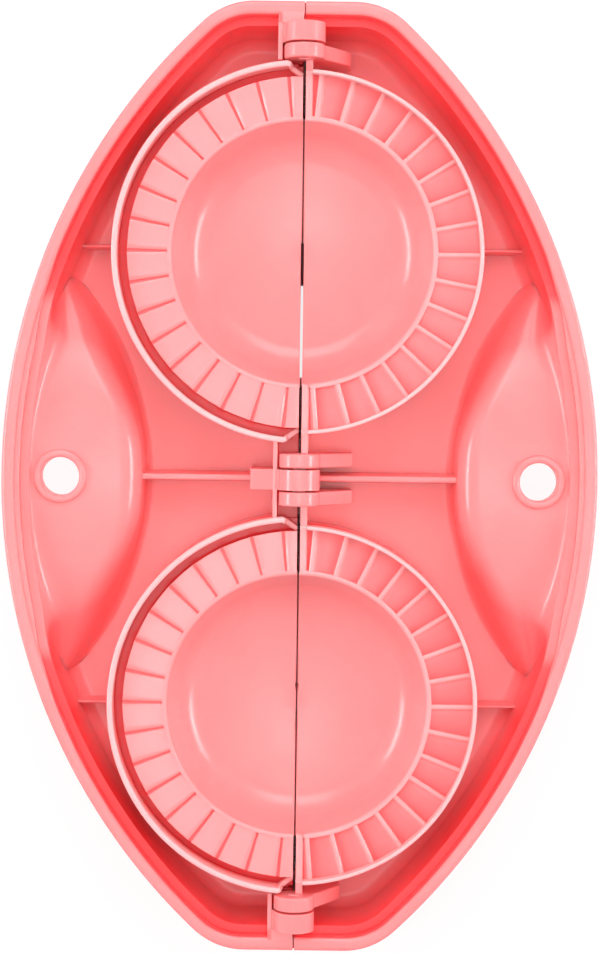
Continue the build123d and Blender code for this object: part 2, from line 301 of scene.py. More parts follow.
def cylinder(radius: float, length: float, segments: int, place: Matrix) -> Mesh:
    """A closed cylinder along Z, put where a matrix says."""
    mesh = bmesh.new()
    radii = {"radius1": radius, "radius2": radius}
    bmesh.ops.create_cone(mesh, cap_ends=True, segments=segments, depth=length, matrix=place, **radii)
    return mesh


def finished(
    mesh: Mesh,
    name: str,
    side: Side,
    material: Finish,
    nodes: Sequence[str] = (),
    smooth_angle: float = 32.0,
) -> bpy.types.Object:
    """Turn a mesh in millimetres into a dressed piece that rides on its half.

    Args:
        mesh: The piece, drawn at x > 0.
        name: The piece's name without its side.
        side: The half that it belongs to. The left half is mirrored.
        material: The finish.
        nodes: The CAD nodes that it stands for.
        smooth_angle: Edges that turn by more than this stay sharp, in degrees.

    Returns:
        The object.
    """
    if side is Side.LEFT:
        bmesh.ops.scale(mesh, verts=mesh.verts, vec=(-1, 1, 1))
        bmesh.ops.reverse_faces(mesh, faces=mesh.faces)
    bmesh.ops.scale(mesh, verts=mesh.verts, vec=(METRES_PER_MM,) * 3)
    piece = mesh_object(mesh, f"{side.value}_{name}")
    piece.data.shade_smooth()
    piece.data.set_sharp_from_angle(angle=math.radians(smooth_angle))
    weighted = piece.modifiers.new("level shading on flats", "WEIGHTED_NORMAL")
    weighted.keep_sharp = True
    piece.data.materials.append(material)
    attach(piece, side.body)
    if nodes:
        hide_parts(*nodes)
    LOG.info("%s: %d faces", piece.name, len(piece.data.polygons))
    return piece


@dataclass(frozen=True)
class Leaf:
    """The leaf outline of one half: a side arc, rounded corners and a flat end."""

    half_width: float = 67.5
    half_length: float = 107.5
    side_radius: float = 141.0
    corner_radius: float = 17.0
    side_share: float = 0.70
    corner_share: float = 0.90

    @property
    def arc_centre(self) -> float:
        """Where the side arc's centre lies across the press."""
        return self.half_width - self.side_radius

    def at(self, place: float, side_inset: float, end_inset: float) -> Vector:
        """A point of the outline, drawn in from its edge.

        Args:
            place: Where it is, from 1 at the top of the seam over 0 at the side to -1.
            side_inset: How far the sides are drawn in.
            end_inset: How far the ends are drawn in.

        Returns:
            The point.
        """
        turn = abs(place)
        round_radius = self.corner_radius - side_inset
        arc_radius = self.side_radius - side_inset
        corner_y = self.half_length - end_inset - round_radius
        reach = arc_radius - round_radius
        corner_x = self.arc_centre + math.sqrt(reach**2 - corner_y**2)
        meeting = math.asin(corner_y / reach)
        if turn <= self.side_share:
            angle = meeting * turn / self.side_share
            x = self.arc_centre + arc_radius * math.cos(angle)
            y = arc_radius * math.sin(angle)
        elif turn <= self.corner_share:
            part = (turn - self.side_share) / (self.corner_share - self.side_share)
            angle = meeting + (math.pi / 2 - meeting) * part
            x = corner_x + round_radius * math.cos(angle)
            y = corner_y + round_radius * math.sin(angle)
        else:
            part = (turn - self.corner_share) / (1 - self.corner_share)
            x = corner_x + (SILL_X - corner_x) * part
            y = self.half_length - end_inset
        return Vector((x, y if place >= 0 else -y))

    def places(self, side_steps: int, corner_steps: int, end_steps: int) -> list[float]:
        """Where the stations along the outline lie, from the top of the seam to its foot."""
        stretches = (
            (0.0, self.side_share, side_steps),
            (self.side_share, self.corner_share, corner_steps),
            (self.corner_share, 1.0, end_steps),
        )
        top = []
        for start, stop, steps in stretches:
            top += [start + index / steps * (stop - start) for index in range(steps)]
        top.append(1.0)
        return [*reversed(top), *(-spot for spot in top[1:])]


@dataclass(frozen=True)
class Cup:
    """The sizes that the two halves of a mould share."""

    centre: float = 51.15
    bowl_radius: float = 29.75
    bowl_depth: float = 11.5
    bowl_slope: float = 26.0
    dish_radius: float = 160.0
    skin: float = 1.8
    panel_radius: float = 39.55
    guard_radius: float = 42.95
    seat_radius: float = 37.9
    seat_height: float = 16.5
    mating: float = 23.0
    face: float = 22.85
    ridges: int = 17
    lip_round: float = 0.7

    def middle(self, level: str) -> float:
        """Where the upper or the lower cup's centre lies along the hinge."""
        return self.centre if level == "upper" else -self.centre

    def base(self, side: Side) -> float:
        """The height of the pleated ring's underside."""
        return 20.35 if side is Side.LEFT else 19.25

    def cone(self, height: float) -> float:
        """The radius of the bowl's slope at a height."""
        return self.bowl_radius - (self.mating - height) * math.tan(math.radians(self.bowl_slope))

    def dish(self, radius: float) -> float:
        """The height of the bowl's bottom at a radius."""
        rise = self.dish_radius - math.sqrt(self.dish_radius**2 - radius**2)
        return self.mating - self.bowl_depth + rise

    def lines(self) -> list[float]:
        """The directions of the pleat lines, from the hinge."""
        return [math.pi / self.ridges * (index + 0.5) for index in range(self.ridges)]


@dataclass
class TrayHalf:
    """The floor, the drafted wall and the thumb rest of one half, as one shell."""

    side: Side
    leaf: Leaf = field(default_factory=Leaf)
    cup: Cup = field(default_factory=Cup)
    rim_width: float = 2.9
    rim_end_width: float = 3.2
    wall_top: float = 19.6
    wall_reach: float = 8.5
    floor: float = 2.0
    thickness: float = 2.0
    draft: float = 5.0
    foot_radius: float = 3.5
    end_foot_radius: float = 9.0
    blend_radius: float = 4.5
    shoulder_radius: float = 3.2
    lobe_centre: float = 108.67
    lobe_radius: float = 71.16
    lobe_top: float = 17.0
    lobe_reach: float = 60.0
    crown_radius: float = 112.0
    tip_height: float = 6.4
    ledge_width: float = 1.0
    ledge_half_length: float = 37.0
    hole_centre: float = 54.5
    steepest_line: float = 46.9
    seam_end: float = 98.0

    def inset_point(self, place: float, inset: float) -> Vector:
        """A point of the outline drawn in by the rim's widths and then evenly."""
        narrowing = self.rim_width - self.rim_end_width
        end_inset = inset - narrowing * min(1.0, inset / self.rim_width)
        return self.leaf.at(place, inset, end_inset)

    def seam_point(self, place: float) -> Vector:
        """Where the floor line that starts at a place of the outline ends at the seam."""
        turn, side_share = abs(place), self.leaf.side_share
        reach = SILL_X - self.leaf.arc_centre
        steepest = math.radians(self.steepest_line)
        if turn <= side_share:
            y = reach * math.tan(steepest * turn / side_share)
        else:
            last = reach * math.tan(steepest)
            y = last + (self.seam_end - last) * ((turn - side_share) / (1 - side_share))
        return Vector((SILL_X, math.copysign(y, place)))

    def plan(self, place: float, inset: float) -> Vector:
        """A point on the line from the outline to the seam."""
        if inset <= self.wall_reach:
            return self.inset_point(place, inset)
        start, stop = self.inset_point(place, self.wall_reach), self.seam_point(place)
        length = max((stop - start).length, 1e-6)
        return start.lerp(stop, min(1.0, (inset - self.wall_reach) / length))

    def crown(self, y: float) -> float:
        """The height of the thumb rest's crown."""
        drop = self.crown_radius - math.sqrt(self.crown_radius**2 - y**2)
        return self.lobe_top - drop

    def lobe_inset(self, place: float, on_floor: bool) -> float | None:
        """How far in the thumb rest's flank lies on one line.

        Args:
            place: Where the line starts.
            on_floor: Whether to look at the flank's foot, not at its shoulder.

        Returns:
            The distance from the outline, or None where the line has no thumb rest.
        """

        def outside(inset: float) -> float:
            spot = self.plan(place, inset)
            height = self.floor if on_floor else self.crown(spot.y)
            slope = math.tan(math.radians(3 + 15 * smooth_step(abs(spot.y), 6, 32)))
            radius = self.lobe_radius - (height - self.floor) * slope
            return (spot - Vector((self.lobe_centre, 0))).length - radius

        low, high = self.rim_width + 1.3, 40.0
        if abs(self.plan(place, low).y) > self.lobe_reach or outside(low) > 0:
            return None
        for _ in range(30):
            middle = (low + high) / 2
            low, high = (low, middle) if outside(middle) > 0 else (middle, high)
        return (low + high) / 2

    def wall_inset(self, height: float, shelf: float) -> float:
        """How far in the wall's face lies at a height."""
        lean = math.tan(math.radians(self.draft))
        return self.rim_width + shelf + (self.wall_top - height) * lean

    def shelf(self, place: float) -> float:
        """How far the ledge under the rim stands out at one place of the outline."""
        y = abs(self.inset_point(place, self.rim_width).y)
        taper = smooth_step(y, self.ledge_half_length - 9, self.ledge_half_length + 5)
        return self.ledge_width * (1 - taper)

    def section(self, place: float) -> list[Vector]:
        """The cross-section that starts at one place of the outline."""
        shelf = self.shelf(place)
        shoulder = self.lobe_inset(place, False)
        outer = self.inset_point(place, self.wall_reach)
        seam_inset = self.wall_reach + (self.seam_point(place) - outer).length
        floor_inset = self.wall_inset(self.floor, shelf)
        if shoulder is None:
            crest = self.tip_height
            corners = [
                Corner(self.wall_inset(crest + 0.6, shelf), crest + 0.6, 0.5, 6, 4),
                Corner(self.wall_inset(crest, shelf), crest, 0.5, 7, 3),
                Corner(floor_inset, self.floor, self.end_foot_radius, 7, 28),
            ]
        else:
            crest = self.crown(self.plan(place, shoulder).y)
            wall_height = self.crown(self.plan(place, self.rim_width + 2).y)
            wall = min(self.wall_inset(wall_height, shelf), shoulder - 0.02)
            foot = max(self.lobe_inset(place, True) or floor_inset, floor_inset)
            tip = smooth_step(abs(self.plan(place, shoulder).y), 14, 36)
            corners = [
                Corner(wall, wall_height, self.blend_radius + 4 * tip, 6, 4),
                Corner(shoulder, crest, self.shoulder_radius + 3 * tip, 7, 3),
                Corner(foot, self.floor, self.foot_radius + 2 * tip, 7, 28),
            ]
        top = Corner(self.rim_width + shelf, self.wall_top, run=4)
        path = rounded_path(top, *corners, Corner(seam_inset, self.floor), closed=False)
        return [Vector((*self.plan(place, inset), height)) for inset, height in path]

    def build(self, material: Finish) -> None:
        """Build the shell and cut the cups' wells and the hanging hole out of it."""
        mesh = swept([self.section(place) for place in self.leaf.places(128, 22, 10)], closed=False)
        bmesh.ops.recalc_face_normals(mesh, faces=mesh.faces)
        middle = min(mesh.faces, key=lambda face: (face.calc_center_median().xy - Vector((20, 0))).length)
        if middle.normal.z < 0:
            bmesh.ops.reverse_faces(mesh, faces=mesh.faces)
        mesh.normal_update()
        bmesh.ops.solidify(mesh, geom=mesh.faces[:], thickness=-self.thickness)
        for vert in mesh.verts:
            vert.co.z = min(vert.co.z, self.wall_top)
            vert.co.x = max(vert.co.x, SILL_X)
        bmesh.ops.recalc_face_normals(mesh, faces=mesh.faces)
        well = 42.3 if self.side is Side.LEFT else 40.3
        wells = [(well, 18, 0, self.cup.centre), (well, 18, 0, -self.cup.centre)]
        for radius, top, x, y in [*wells, (5.0, 22, self.hole_centre, 0)]:
            place = Matrix.Translation((x, y, (top - 1) / 2))
            mesh = cut_away(mesh, cylinder(radius, top + 1, 160, place))
        nodes = [f"{self.side.value}_tray", f"{self.side.value}_thumb_rest"]
        finished(mesh, "tray_shell", self.side, material, nodes, 40.0)


@dataclass
class RimHalf:
    """The flange round one half, with the narrow ledge beside the thumb rest."""

    side: Side
    tray: TrayHalf
    top: float = 22.85
    base: float = 19.5
    edge_round: float = 1.0
    ledge_height: float = 21.5
    ledge_overlap: float = 0.12
    seam_x: float = 0.15

    def section(self, place: float) -> list[Vector]:
        """The flange's cross-section at one place of the outline."""
        inner = self.tray.rim_width
        ledge = inner + (self.tray.shelf(place) + self.ledge_overlap)
        profile = rounded_path(
            Corner(0, self.base, 0.3, 2),
            Corner(0, self.top, self.edge_round, 6),
            Corner(inner, self.top, self.edge_round, 6),
            Corner(inner, self.ledge_height, 0.3, 3),
            Corner(ledge, self.ledge_height, 0.4, 4),
            Corner(ledge, self.base),
            closed=True,
        )
        points = []
        for inset, height in profile:
            spot = self.tray.inset_point(place, inset)
            points.append(Vector((max(spot.x, self.seam_x), spot.y, height)))
        return points

    def build(self, material: Finish) -> None:
        """Sweep the flange's profile round the outline."""
        mesh = swept([self.section(place) for place in self.tray.leaf.places(110, 22, 10)], closed=True)
        finished(mesh, "rim_flange", self.side, material, [f"{self.side.value}_rim"])


@dataclass(frozen=True)
class Spoke:
    """A radial section of a pleated ring: a direction, an offset from it and a relief."""

    direction: float
    offset: float
    relief: float
    flared: bool = True

    def at(self, radius: float, flare: float) -> Vector:
        """The spoke's point at a radius, from the cup's centre, with its offset stretched."""
        angle = self.direction + math.asin(self.offset * flare / radius)
        return Vector((radius * math.sin(angle), radius * math.cos(angle)))


@dataclass
class PleatedRing:
    """The pleated ring of one cup: raised panels on the left, ribs between panels on the right."""

    side: Side
    cup: Cup = field(default_factory=Cup)
    groove_depth: float = 0.9
    rib_height: float = 1.1
    lowest_relief: float = 21.0

    def relief(self) -> list[Flat]:
        """Offset from a pleat line away from the top of the seam, and the relief's height there."""
        if self.side is Side.LEFT:
            return [
                (-1.7, 0.90), (-1.3, 0.88), (-1.05, 0.80), (-0.90, 0.72), (-0.45, 0.43), (-0.36, 0.15),
                (-0.30, 0.0), (0.12, 0.0), (0.19, 0.38), (0.26, 0.55), (0.40, 0.62), (0.7, 0.65),
            ]
        return [
            (-0.62, 0.0), (-0.52, 0.1), (-0.46, 0.8), (-0.38, 1.0), (-0.22, 1.1), (0.22, 1.1),
            (0.42, 1.03), (0.58, 0.84), (0.72, 0.6), (0.9, 0.44), (1.2, 0.36),
        ]

    def seam_relief(self) -> list[Flat]:
        """The same beside the seam, measured from the hinge line."""
        if self.side is Side.LEFT:
            return [(0.3, 0.6), (0.36, 0.76), (0.5, 0.87), (0.75, 0.9), (1.2, 0.9)]
        return [
            (0.3, 0.8), (0.36, 0.96), (0.5, 1.07), (0.75, 1.1), (1.5, 1.1), (1.75, 1.03), (1.9, 0.7),
            (2.0, 0.25), (2.15, 0.1),
        ]

    def spokes(self) -> list[Spoke]:
        """Every radial section, from the top of the seam to its foot."""
        beside = self.seam_relief()
        relief = self.relief()
        low, high = relief[-1][1], relief[0][1]
        found = [Spoke(0.0, offset, height, False) for offset, height in beside]
        for index, direction in enumerate(self.cup.lines()):
            if index:
                for part in (0.35, 0.5, 0.65):
                    angle = direction + (part - 1) * math.pi / self.cup.ridges
                    found.append(Spoke(angle, 0.0, low + (high - low) * part))
            found += [Spoke(direction, offset, height) for offset, height in relief]
        return found + [Spoke(math.pi, -offset, height, False) for offset, height in reversed(beside)]

    def profile(self) -> list[Flat]:
        """The ring's closed profile, with its relief left out."""
        cup = self.cup
        base = cup.base(self.side)
        corners = [
            Corner(cup.cone(base) + 0.05, base),
            Corner(cup.cone(cup.face) + 0.02, cup.face, cup.lip_round, 5),
        ]
        if self.side is Side.LEFT:
            corners += [
                Corner(cup.bowl_radius + 0.7, cup.face),
                Corner(cup.bowl_radius + 0.95, cup.face, run=6),
                Corner(cup.panel_radius, cup.face, 0.4, 4, 2),
                Corner(cup.panel_radius, 18.0, 0.4, 3, 2),
                Corner(cup.guard_radius - 0.7, 18.0),
                Corner(cup.guard_radius - 0.7, cup.seat_height),
                Corner(cup.seat_radius, cup.seat_height),
                Corner(cup.seat_radius, base),
            ]
        else:
            floor = cup.face - self.rib_height
            corners += [
                Corner(cup.bowl_radius + 0.9, cup.face, 0.25, 3),
                Corner(cup.bowl_radius + 0.95, floor, 0.3, 3, 8),
                Corner(40.3, floor),
                Corner(40.3, base),
            ]
        return rounded_path(*corners, closed=True)

    def height(self, radius: float, profile_height: float, relief: float) -> float:
        """The height of a point of the ring once its relief is cut or raised."""
        cup = self.cup
        if profile_height < self.lowest_relief:
            return profile_height
        if self.side is Side.RIGHT:
            raised = max(profile_height, cup.face - self.rib_height + relief)
            return raised if radius > cup.bowl_radius else profile_height
        inward = smooth_step(radius, cup.bowl_radius + 0.65, cup.bowl_radius + 0.98)
        return min(profile_height, cup.face - (self.groove_depth - relief) * inward)

    def build(self, level: str, material: Finish) -> None:
        """Sweep the ring's profile from spoke to spoke."""
        profile = self.profile()
        centre = self.cup.middle(level)
        sections = []
        for spoke in self.spokes():
            section = []
            for radius, profile_height in profile:
                flare = 1.0
                if self.side is Side.LEFT and spoke.flared:
                    flare = 0.75 + 0.45 * smooth_step(radius, 30.4, 39.4)
                spot = spoke.at(radius, flare)
                height = self.height(radius, profile_height, spoke.relief)
                section.append(Vector((spot.x, centre + spot.y, height)))
            sections.append(section)
        node = f"{self.side.value}_{level}_pleat_ring"
        finished(swept(sections, closed=True), f"{level}_pleated_ring", self.side, material, [node])


@dataclass
class BowlHalf:
    """The half bowl below a pleated ring."""

    side: Side
    cup: Cup = field(default_factory=Cup)
    corner_radius: float = 8.0
    rim_height: float = 22.2
    foot_height: float = 13.4
    lip_bevel: float = 0.3
    slots: tuple[tuple[float, float, float], ...] = ((0.3, -28.0, -7.3), (0.42, -7.4, 2.9))

    def profile(self) -> list[Flat]:
        """The bowl's closed profile, from its middle up the inside and back under it."""
        cup = self.cup
        top, base = self.rim_height, cup.base(self.side)
        foot_radius = cup.cone(self.foot_height)
        radii = [0.01, *(foot_radius * part / 7 for part in range(1, 5))]
        inside = [(radius, cup.dish(radius)) for radius in radii]
        bend = rounded_path(
            Corner(*inside[-1]),
            Corner(foot_radius, cup.dish(foot_radius), self.corner_radius, 14, 4),
            Corner(cup.cone(top), top),
            closed=False,
        )
        grow = cup.skin / math.cos(math.radians(cup.bowl_slope))
        under_foot = cup.cone(11.8) + grow
        outside = rounded_path(
            Corner(cup.cone(top) + 0.6, top),
            Corner(cup.cone(base) + 0.6, base - 0.1),
            Corner(cup.cone(base) + grow, base - 0.1),
            Corner(under_foot, cup.dish(under_foot) - cup.skin, self.corner_radius + cup.skin, 8, 3),
            Corner(0.01, cup.dish(0.01) - cup.skin),
            closed=False,
        )
        return inside[:-1] + bend + outside

    def build(self, level: str, material: Finish) -> None:
        """Spin the bowl, cut it along the seam and cut the slot into the upper one."""
        centre = self.cup.middle(level)
        mesh = spun(self.profile(), (0, centre), 0.5, 72)
        bmesh.ops.bisect_plane(
            mesh,
            geom=mesh.verts[:] + mesh.edges[:] + mesh.faces[:],
            dist=1e-5,
            plane_co=(BOWL_SEAM_X, 0, 0),
            plane_no=(1, 0, 0),
            clear_inner=True,
        )
        closed_up(mesh)
        lips = [
            edge
            for edge in mesh.edges
            if all(vert.co.x < BOWL_SEAM_X + 1e-3 for vert in edge.verts)
            and any(face.normal.z > 0.2 for face in edge.link_faces)
        ]
        round_edges(mesh, lips, self.lip_bevel, segments=2)
        for reach, low, high in self.slots if level == "upper" else ():
            slot = bmesh.new()
            place = Matrix.Translation((0, centre + (low + high) / 2, 15))
            sizes = Matrix.Diagonal((2 * reach, high - low, 30, 1))
            bmesh.ops.create_cube(slot, size=1.0, matrix=place @ sizes)
            mesh = cut_away(mesh, slot)
        node = f"{self.side.value}_{level}_bowl"
        finished(mesh, f"{level}_half_bowl", self.side, material, [node])


@dataclass
class GuardWall:
    """The outer wall of one cup, with the web that closes the cup's underside at the seam."""

    side: Side
    cup: Cup = field(default_factory=Cup)
    foot_flare: float = 1.4
    top: float = 25.0
    web_thickness: float = 1.2

    def ends(self) -> list[tuple[Flat, float, float]]:
        """Place, lean and top height of the sections from the tall wall to the seam."""
        if self.side is Side.LEFT:
            return [
                ((3.2, 41.85), 0.3, 24.9),
                ((2.75, 41.55), 0.5, 20.65),
                ((1.6, 40.75), 0.6, 20.6),
                ((SEAM_X, 40.0), 0.5, 20.6),
            ]
        return [((1.85, 40.35), 0.05, 24.9), ((1.75, 40.36), 0.05, 22.85), ((SEAM_X, 40.4), 0.0, 22.85)]

    def stations(self) -> list[tuple[Vector, Vector, float]]:
        """Place, outward direction and top height of each section, from the top of the seam."""
        radius, tall_x = (42.3, 3.7) if self.side is Side.LEFT else (40.4, 2.1)
        first = math.asin(tall_x / radius)
        found = []
        for index in range(73):
            angle = first + (math.pi - 2 * first) * index / 72
            outward = Vector((math.sin(angle), math.cos(angle)))
            found.append((outward * radius, outward, self.top))
        for (x, y), lean, height in self.ends():
            outward = Vector((-math.sin(lean), math.cos(lean)))
            found.insert(0, (Vector((x, y)), outward, height))
            found.append((Vector((x, -y)), Vector((outward.x, -outward.y)), height))
        return found

    def wall(self) -> Mesh:
        """Sweep the wall's rounded profile along its path."""
        half, top_round = (0.65, 0.5) if self.side is Side.LEFT else (0.45, 0.36)
        sections = []
        for spot, outward, top in self.stations():
            profile = rounded_path(
                Corner(-half, 0.0),
                Corner(-half, top, top_round, 5),
                Corner(half, top, top_round, 5),
                Corner(half, 1.97, 1.0, 5),
                Corner(half + self.foot_flare, 1.97),
                Corner(half + self.foot_flare, 1.4),
                Corner(half, 1.4),
                Corner(half, 0.0),
                closed=True,
            )
            section = []
            for offset, height in profile:
                place = spot + outward * offset
                section.append(Vector((max(place.x, SEAM_X), place.y, height)))
            sections.append(section)
        return swept(sections, closed=True)

    def web(self) -> Mesh:
        """The plate along the seam, cut out round the bowl."""
        cup = self.cup
        base = cup.base(self.side)
        if self.side is Side.LEFT:
            edge = 41.75
            step = [(edge, cup.seat_height), (cup.seat_radius, cup.seat_height), (cup.seat_radius, base)]
        else:
            edge = 40.05
            step = [(edge, base)]
        grow = cup.skin / math.cos(math.radians(cup.bowl_slope)) - 0.4
        bowl = rounded_path(
            Corner(cup.cone(base) + grow, base),
            Corner(cup.cone(11.6) + grow, 11.3, 5.0, 6, 2),
            Corner(0.0, 9.9),
            closed=False,
        )
        right = [(edge, 0.0), *step, *bowl]
        left = [(-y, z) for y, z in reversed(right[:-1])]
        return plate(right + left, "yz", SEAM_X, SEAM_X + self.web_thickness)

    def painted_shadow_strip(self, level: str) -> Mesh:
        """A painted shadow: the dark strip at the web's foot, which all but shuts the seam."""
        edge, low, high = 43.3, 0.7, 1.3
        spans = [(-edge, -28.0), (-6.4, edge)] if level == "upper" else [(-edge, edge)]
        strips = []
        for start, stop in spans:
            outline = [(start, low), (stop, low), (stop, high), (start, high)]
            strips.append(plate(outline, "yz", SILL_X, SEAM_X + self.web_thickness))
        return joined(strips)

    def build(self, level: str, material: Finish, painted_seam_shadow: Finish) -> None:
        """Build the wall with its web, and the dark strip of painted shadow at the web's foot."""
        move = (0, self.cup.middle(level), 0)
        # The dark strip stands where the seam has only shade: a painted shadow.
        finished(shifted(self.painted_shadow_strip(level), move), f"{level}_seam_sill", self.side, painted_seam_shadow)
        mesh = shifted(joined([self.wall(), self.web()]), move)
        node = f"{self.side.value}_{level}_guard_wall"
        finished(mesh, f"{level}_guard", self.side, material, [node])


@dataclass
class Hinge:
    """The barrels of one half, the walls beside them, and the pins."""

    side: Side
    barrel_radius: float = 4.6
    bore_radius: float = 1.55
    pin_radius: float = 1.5
    axis_height: float = 23.0
    face: float = 22.85
    wall_top: float = 22.8
    trough: float = 16.6
    foot: float = 1.9
    edge_round: float = 0.45

    def barrel_arc(self, start: float, stop: float = 273.7) -> list[Flat]:
        """Points of the barrel's outline between two angles, in degrees."""
        steps, radius = 36, self.barrel_radius
        angles = [math.radians(start + (stop - start) * index / steps) for index in range(steps + 1)]
        return [(radius * math.cos(angle), self.axis_height + radius * math.sin(angle)) for angle in angles]

    def axle(self, radius: float, low: float, high: float, segments: int) -> Mesh:
        """A cylinder on the hinge's axis."""
        place = Matrix.Translation((0, (low + high) / 2, self.axis_height))
        return cylinder(radius, high - low, segments, place @ Matrix.Rotation(math.radians(90), 4, "X"))

    def bored(self, outline: list[Flat], low: float, high: float) -> Mesh:
        """A hinge lug of a given outline, with its bore."""
        lug = plate(outline, "xz", low, high, self.edge_round)
        return cut_away(lug, self.axle(self.bore_radius, low - 1, high + 1, 160))

    def ear(self, low: float, high: float, reach: float, crest: float) -> Mesh:
        """A right lug, whose gusset slopes down to the floor."""
        outline = self.barrel_arc(-4.9) + [(SEAM_X, self.foot), (reach, self.foot), (reach, crest)]
        return self.bored(outline, low, high)

    def knuckle(self, low: float, high: float) -> Mesh:
        """A left lug on its web in the trough."""
        web = [(SEAM_X, self.trough), (5.0, self.trough), (5.0, self.face)]
        return self.bored(self.barrel_arc(-1.9) + web, low, high)

    def middle_knuckle(self) -> Mesh:
        """The middle left lug with the arm that carries it."""
        arm = [(SEAM_X, self.trough), (6.0, self.trough), (6.0, self.foot), (11.1, self.foot)]
        arm += [(11.1, 21.7), (6.2, 22.5), (5.2, 22.9), (4.6, self.face)]
        return self.bored(self.barrel_arc(-1.9) + arm, -2.3, 2.3)

    def edge_walls(self) -> Mesh:
        """The walls that close the tray along the seam."""
        foot, top, trough = self.foot, self.wall_top, self.trough
        if self.side is Side.RIGHT:
            notch = 18.2
            middle = [(-10.8, foot), (-10.8, top), (-2.7, top), (-2.7, notch), (2.7, notch), (2.7, top)]
            middle += [(10.8, top), (10.8, foot)]
            upper = [(91.7, foot), (91.7, top), (97.7, top), (97.7, notch), (104.7, notch), (104.7, foot)]
            lower = [(-y, z) for y, z in reversed(upper)]
            return joined([plate(line, "yz", SEAM_X, 1.9, 0.2) for line in (middle, upper, lower)])
        wall = [(SEAM_X, foot), (SEAM_X, 16.7), (5.0, 16.7), (5.0, top), (6.0, top), (6.0, 15.5)]
        wall += [(1.5, 15.5), (1.5, foot)]
        block = [(SEAM_X, trough), (6.0, trough), (6.0, top), (SEAM_X, top)]
        parts = [(wall, -8.9, 8.9), (wall, 94.3, 105.0), (wall, -105.0, -94.3)]
        parts += [(block, 102.5, 105.2), (block, -105.2, -102.5)]
        return joined([plate(outline, "xz", low, high, 0.15) for outline, low, high in parts])

    def end_tongues(self) -> Mesh:
        """The strips below the rim that close its seam from beneath."""
        strips = []
        for low, high in ((104.2, 107.4), (-107.4, -104.2)):
            outline = [(low, 19.5), (high, 19.5), (high, 20.6), (low, 20.6)]
            strips.append(plate(outline, "yz", SILL_X, 0.4))
        return joined(strips)

    def build(self, material: Finish, wall_material: Finish) -> None:
        """Build the lugs and the walls of this half.

        Args:
            material: The finish of the lugs.
            wall_material: The finish of the walls.
        """
        if self.side is Side.LEFT:
            lugs = {
                "top_knuckle": self.knuckle(98.1, 102.5),
                "middle_knuckle": self.middle_knuckle(),
                "bottom_knuckle": self.knuckle(-102.5, -98.1),
            }
        else:
            pair = [self.ear(2.7, 5.9, 12.2, 12.0), self.ear(-5.9, -2.7, 12.2, 12.0)]
            lugs = {
                "top_ear": self.ear(94.4, 97.7, 10.6, 13.0),
                "middle_ears": joined(pair),
                "bottom_ear": self.ear(-97.7, -94.4, 10.6, 13.0),
            }
        for name, mesh in lugs.items():
            finished(mesh, f"{name}_lug", self.side, material, [f"{self.side.value}_{name}"])
        finished(joined([self.edge_walls(), self.end_tongues()]), "seam_walls", self.side, wall_material)

    def build_pins(self, material: Finish) -> None:
        """Build the three short pins, which turn with the right half."""
        spans = {"top": (94.2, 101.7), "middle": (-6.0, 6.0), "bottom": (-101.7, -94.2)}
        for name, (low, high) in spans.items():
            mesh = self.axle(self.pin_radius, low, high, 32)
            ends = [edge for edge in mesh.edges if edge.calc_face_angle(0.0) > 1.0]
            round_edges(mesh, ends, 0.3)
            pin = finished(mesh, f"{name}_pin", Side.RIGHT, material, [f"{name}_hinge_pin"])


@dataclass(frozen=True)
class Rib:
    """A rib along X, from the hinge outwards, with a rounded top and a soft foot."""

    start: float
    stop: float
    y: float
    thickness: float
    top: float
    lean: float
    stations: int = 12

    def build(self) -> Mesh:
        """Sweep the rib's profile along it. Its far end leans out as it rises."""
        half = self.thickness / 2
        profile = rounded_path(
            Corner(-half - 1.3, 1.5),
            Corner(-half - 1.3, 1.96),
            Corner(-half - 0.4, 1.96, 0.9, 4),
            Corner(0.2 - half, self.top, 0.45, 4),
            Corner(half - 0.2, self.top, 0.45, 4),
            Corner(half + 0.4, 1.96, 0.9, 4),
            Corner(half + 1.3, 1.96),
            Corner(half + 1.3, 1.5),
            closed=True,
        )
        sections = []
        for station in range(self.stations):
            section = []
            for across, height in profile:
                end = self.stop + self.lean * (height - 2.0)
                x = self.start + (end - self.start) * station / (self.stations - 1)
                section.append(Vector((x, self.y + across, height)))
            sections.append(section)
        return swept(sections, closed=True)


